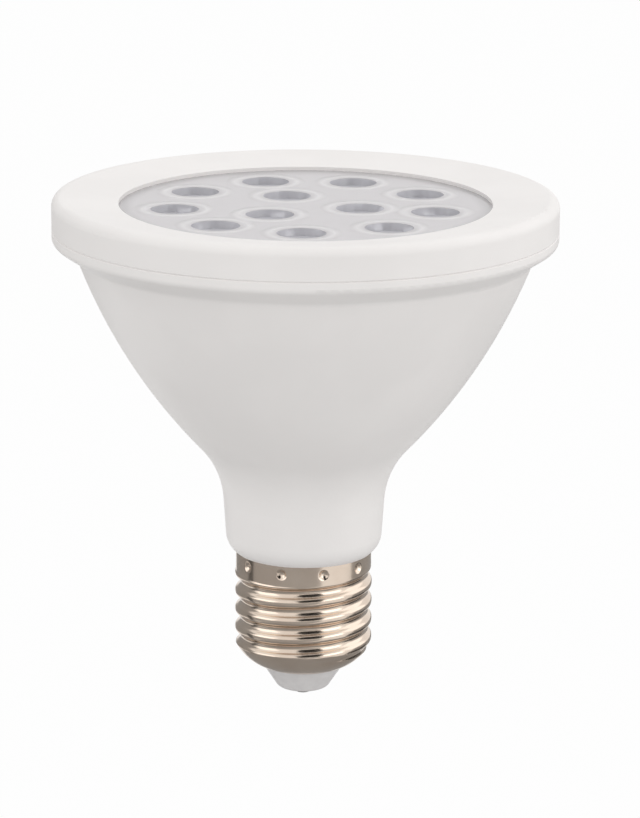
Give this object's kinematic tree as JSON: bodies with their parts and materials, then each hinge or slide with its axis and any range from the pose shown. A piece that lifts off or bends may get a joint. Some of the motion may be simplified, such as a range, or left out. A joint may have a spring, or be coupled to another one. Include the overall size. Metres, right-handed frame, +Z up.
{
  "type": "par spotlight bulb",
  "caption": "Reflector-shaped LED spotlight bulb: white bowl housing, clear multi-lens front plate held by a bezel ring, and a nickel-plated Edison screw cap.",
  "frame": {"origin": "tip of the centre contact, on the lamp's axis", "axes": "+Z up the lamp's axis from the cap to the lens, -Y to the front as pictured, +X to the right"},
  "size_m": [0.095, 0.095, 0.0973],
  "materials": {
    "white_plastic": "fine satin moulding",
    "clear_acrylic": "clear moulded acrylic",
    "nickel_plate": "bright nickel plate on rolled sheet",
    "insulator_white": "off-white moulding",
    "contact_metal": "dull plated rivet",
    "aluminium": "drawn sheet",
    "white_mask": "white solder mask",
    "light_package": "white package with yellow phosphor",
    "steel": "plated screw",
    "circuit_board": "green laminate",
    "capacitor_sleeve": "shrink sleeve",
    "ferrite": "ferrite and wound wire",
    "black_moulding": "moulded package",
    "resistor_coat": "lacquer coat",
    "red_lead": "insulated wire",
    "black_lead": "insulated wire"
  },
  "bodies": {
    "root": {"housing": "white_plastic", "bezel_ring": "white_plastic", "lens_plate": "clear_acrylic", "cap_shell": "nickel_plate", "cap_insulator": "insulator_white", "centre_contact": "contact_metal", "heat_sink": "aluminium", "led_board": "white_mask", "led_01": "light_package", "led_02": "light_package", "led_03": "light_package", "led_04": "light_package", "led_05": "light_package", "led_06": "light_package", "led_07": "light_package", "led_08": "light_package", "led_09": "light_package", "led_10": "light_package", "led_11": "light_package", "led_12": "light_package", "board_screws": "steel", "driver_board": "circuit_board", "bulk_capacitor": "capacitor_sleeve", "output_capacitor": "capacitor_sleeve", "transformer": "ferrite", "choke": "ferrite", "bridge_rectifier": "black_moulding", "driver_chip": "black_moulding", "fusible_resistor": "resistor_coat", "lead_live": "red_lead", "lead_positive": "red_lead", "lead_neutral": "black_lead", "lead_negative": "black_lead"}
  },
  "joints": []
}
